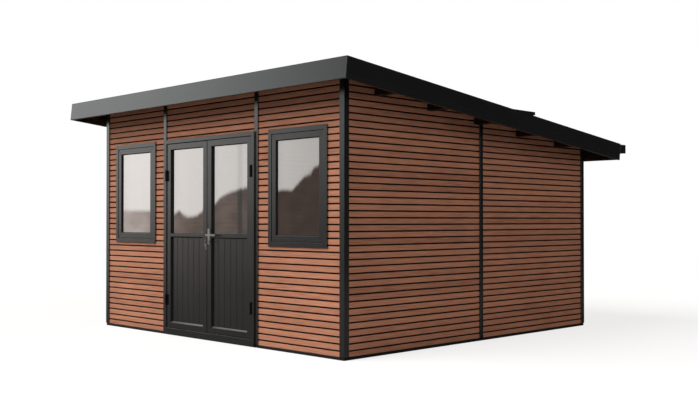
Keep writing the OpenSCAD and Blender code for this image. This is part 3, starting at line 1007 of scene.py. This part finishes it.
@dataclass
class RainGoods:
    """Box gutter with straps, and the square downpipe."""

    strap_w: float = 0.022
    strap_t: float = 0.003
    straps: int = 8
    strap_run: float = 0.112
    end_margin: float = 0.12
    rim: float = 0.006
    pipe_w: float = 0.06
    collar_h: float = 0.03

    def build(self) -> None:
        """Makes the gutter and the downpipe."""
        low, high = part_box("gutter")
        piece = Piece("box_gutter", Body.SHED, GUTTER)
        piece.copy_node("gutter", 0.0012)
        front = high.y - self.strap_run
        first = low.x + self.end_margin
        run = high.x - low.x - 2 * self.end_margin
        over = 0.001
        for i in range(self.straps):
            x = first + i * run / (self.straps - 1)
            piece.block((x - self.strap_w / 2, front, high.z - self.strap_t - over),
                        (x + self.strap_w / 2, high.y - 0.002, high.z - over), 0.0006, 1)
        piece.block((low.x, high.y - 0.009, high.z - self.rim),
                    (high.x, high.y + 0.003, high.z + over), 0.001)
        for x in (low.x, high.x - 0.009):
            piece.block((x - over, front, low.z - over), (x + 0.01, high.y + over, high.z + over), 0.0015)
        piece.done("gutter")
        self.pipe()

    def pipe(self) -> None:
        """Downpipe with socket collars and bracket screws."""
        low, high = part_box("downpipe")
        piece = Piece("square_downpipe", Body.SHED, GUTTER)
        piece.copy_node("downpipe", 0.003)
        middle = (low.x + high.x) / 2
        half = self.pipe_w / 2 + 0.003
        wall_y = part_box("back_left_post")[1].y + 0.012 + self.pipe_w / 2
        for y, z in ((wall_y, 1.5), (wall_y, 0.72), (high.y - self.pipe_w / 2, high.z)):
            piece.block((middle - half, y - half, z - self.collar_h), (middle + half, y + half, z), 0.0015)
        screw_y = wall_y - self.pipe_w / 2 + 0.007
        for z in (0.41, 1.26):
            for x in (middle - 0.036, middle + 0.036):
                piece.rod((x, screw_y, z), Y_AXIS, 0.005, 0.004, 6, 0.0)
        piece.done("downpipe")


@dataclass
class Vent:
    """Hooded roof vent with louvre blades."""

    blades: int = 4
    first: float = 0.046
    spacing: float = 0.016
    blade_t: float = 0.003
    blade_out: float = 0.008
    step: float = 0.02
    margin: float = 0.02

    def build(self) -> None:
        """Makes the hood, the box and the blades."""
        low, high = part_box("roof_vent")
        piece = Piece("vent_hood", Body.SHED, VENT)
        piece.copy_node("roof_vent", 0.002)
        x0, x1, y0, y1 = low.x + self.step, high.x - self.step, low.y + self.step, high.y - self.step
        out, margin = self.blade_out, self.margin
        rows = [((x0 + margin, y1), (x1 - margin, y1 + out)), ((x0 + margin, y0 - out), (x1 - margin, y0)),
                ((x0 - out, y0 + margin), (x0, y1 - margin)), ((x1, y0 + margin), (x1 + out, y1 - margin))]
        for i in range(self.blades):
            z = high.z - self.first - i * self.spacing
            for a, b in rows:
                piece.block((*a, z), (*b, z + self.blade_t))
        piece.done("roof_vent")


# --- Studio ---


# The reflected skyline: bearings from -Y towards -X, and heights, in degrees.
RIDGE = ((44.0, 4.5), (46.3, 3.7), (47.2, 3.25), (47.45, 2.85), (47.85, 2.65), (48.25, 2.2),
         (48.6, 1.8), (49.0, 1.88), (49.8, 1.75), (51.2, 2.05), (52.2, 1.75), (52.75, 1.5),
         (53.0, 1.32), (53.2, 1.02), (53.5, 0.95), (53.95, 0.6), (54.3, 0.3), (54.8, 0.18),
         (55.1, 0.3), (55.38, 0.6), (55.6, 0.42), (55.9, 0.25), (57.0, 0.55), (59.4, 0.6),
         (64.0, 0.9))
RIDGE_ROUGHNESS = 0.34
RIDGE_BLUR = 0.24
WOOD, WOOD_HAZE = (0.142, 0.098, 0.078), (0.64, 0.545, 0.5)
LEAF_SHADE, UNDERGROWTH = (0.05, 0.034, 0.027), (0.035, 0.03, 0.027)
SKY_HIGH, SKY_LOW = (1.055, 1.0, 0.958), (0.91, 0.855, 0.815)
OVERHEAD_RIGHT, OVERHEAD_LEFT = (0.2, 0.2, 0.2), (1.4, 1.4, 1.4)
STRIPE, STRIPE_AT, STRIPE_HALF_W = (0.07, 0.074, 0.072), 51.74, 0.17
UNLIT_SIDES = (0.018, 0.0185, 0.02)


@dataclass
class Studio:
    """Camera, lamps, sky and floor."""

    place: Point = (7.4406, -7.354, 1.1734)
    tilt: Point = (90.66, 0.0, 45.078)
    lens: float = 48.153
    sun_from: Point = (-0.36, -0.72, 0.67)
    sun_angle: float = math.radians(50)
    sun_energy: float = 3.62
    fill_from: Point = (0.9, 0.16, 0.38)
    fill_energy: float = 0.78
    lamp_colour: Point = (1.0, 0.96, 0.92)
    ambient: Point = (0.175, 0.148, 0.13)
    floor_radius: float = 13.0
    floor_glow: float = 0.77

    def build(self) -> None:
        """Sets the stage up."""
        scene = bpy.context.scene
        scene.view_settings.view_transform = "Standard"
        camera = bpy.data.cameras.new("camera")
        camera.lens = self.lens
        camera.sensor_width = 36.0
        holder = bpy.data.objects.new("camera", camera)
        holder.location = self.place
        holder.rotation_euler = Euler([math.radians(a) for a in self.tilt])
        scene.collection.objects.link(holder)
        scene.camera = holder

        self.lamp("sun", self.sun_from, self.sun_energy)
        self.lamp("fill", self.fill_from, self.fill_energy)
        self.sky(scene)
        self.floor()

    def lamp(self, name: str, origin: Point, energy: float) -> None:
        """A soft sun lamp that shines from a direction and isn't seen in reflections."""
        lamp = bpy.data.lights.new(name, "SUN")
        lamp.energy = energy
        lamp.angle = self.sun_angle
        lamp.color = self.lamp_colour
        sun = bpy.data.objects.new(name, lamp)
        sun.rotation_euler = Vector(origin).to_track_quat("Z", "Y").to_euler()
        sun.visible_glossy = False
        bpy.context.scene.collection.objects.link(sun)

    def sky(self, scene: bpy.types.Scene) -> None:
        """White for the camera, soft light, and in reflections a pale sky over a wooded ridge."""
        scene.world = bpy.data.worlds.new("studio")
        scene.world.use_nodes = True
        shader = Shader(scene.world.node_tree)
        way = shader.node("TexCoord", output="Generated")
        x, y, z = (shader.node("SeparateXYZ", inputs={0: way}, output=axis) for axis in "XYZ")
        bearing = shader.math("ARCTAN2", x * -1.0, y * -1.0) * DEGREES
        height = shader.math("ARCTAN2", z, shader.math("SQRT", x * x + y * y)) * DEGREES
        crowns = shader.node("TexNoise", {"noise_dimensions": "1D"},
                             {"W": bearing * 2.6, "Detail": 2.5}, output="Fac") - 0.5
        ridge = shader.ridge(bearing, RIDGE) + crowns * RIDGE_ROUGHNESS
        hill = ((ridge - height) / RIDGE_BLUR + 0.5).clamped()
        haze = shader.math("MAXIMUM", bearing.rise(49.8, 1.7) * 0.19, bearing.rise(54.6, 3.3))
        wood = shader.mix(haze, WOOD, WOOD_HAZE)
        leaves = shader.node("TexNoise", inputs={"Vector": way, "Scale": 55.0, "Detail": 4.0},
                             output="Fac")
        wood = shader.mix(leaves.rise(0.35, 0.35) * 0.42, wood, LEAF_SHADE)
        wood = shader.mix(height.fall(0.0, 14.0), wood, UNDERGROWTH)
        sky = shader.mix(height.fall(3.0, 9.0), SKY_HIGH, SKY_LOW)
        open_air = bearing.fall(14.0, 12.0) * bearing.rise(-88.0, 30.0)
        left = shader.math("MAXIMUM", bearing.rise(42.0, 18.5), open_air)
        overhead = shader.mix(left, OVERHEAD_RIGHT, OVERHEAD_LEFT)
        sky = shader.mix(height.rise(4.2, 15.0), sky, overhead)
        off = shader.math("ABSOLUTE", bearing - STRIPE_AT)
        stripe = off.fall(STRIPE_HALF_W, 0.06) * (0.14 + 0.6 * hill)
        lit = shader.mix(stripe, shader.mix(hill, sky, wood), STRIPE)
        front = bearing.rise(34.0, 1.0 / 0.042) * bearing.fall(150.0, 40.0)
        seen = shader.mix(shader.math("MAXIMUM", front, open_air), UNLIT_SIDES, lit)
        camera, glossy = shader.rays()
        colour = shader.mix(glossy, self.ambient, seen)
        colour = shader.mix(camera, colour, WHITE)
        background = shader.node("Background", inputs={"Color": colour, "Strength": 1.0})
        shader.node_output("OutputWorld", background)

    def floor(self) -> None:
        """A pale round floor that fades out far from the object."""
        mesh = bpy.data.meshes.new("floor_disc")
        bm = bmesh.new()
        bmesh.ops.create_circle(bm, cap_ends=True, segments=96, radius=self.floor_radius)
        bmesh.ops.translate(bm, verts=bm.verts, vec=(0.0, 0.0, -0.0005))
        bm.to_mesh(mesh)
        bm.free()
        disc = bpy.data.objects.new("floor_disc", mesh)
        bpy.context.scene.collection.objects.link(disc)
        material = bpy.data.materials.new("pale_floor")
        material.use_nodes = True
        shader = Shader(material.node_tree)
        here = shader.node("TexCoord", output="Object")
        distance = shader.node("VectorMath", {"operation": "LENGTH"}, {0: here}, output="Value")
        camera, glossy = shader.rays()
        colour = shader.mix(glossy, (0.42, 0.4, 0.38), (0.1, 0.095, 0.09))
        colour = shader.mix(camera, colour, (0.255, 0.26, 0.268))
        plain = shader.node("BsdfDiffuse", inputs={"Color": colour})
        glow = shader.node("Emission", inputs={"Color": (*WHITE, 1.0),
                                               "Strength": camera * self.floor_glow})
        lit = shader.node("AddShader", inputs={0: plain, 1: glow})
        clear = shader.node("BsdfTransparent")
        fade = distance.rise(0.45 * self.floor_radius, 0.5 * self.floor_radius)
        mixed = shader.node("MixShader", inputs={0: fade, 1: lit, 2: clear})
        shader.node_output("OutputMaterial", mixed)
        mesh.materials.append(material)


def main() -> None:
    """Builds the shed and its studio."""
    logging.basicConfig(level=logging.INFO, format="%(name)s %(message)s")
    roof = Roof()
    Studio().build()
    for part in (roof, Cladding(roof), Skeleton(roof), Windows(), Door(), RainGoods(), Vent()):
        part.build()
        log.info("built %s", type(part).__name__)


if __name__ == "__main__":
    main()
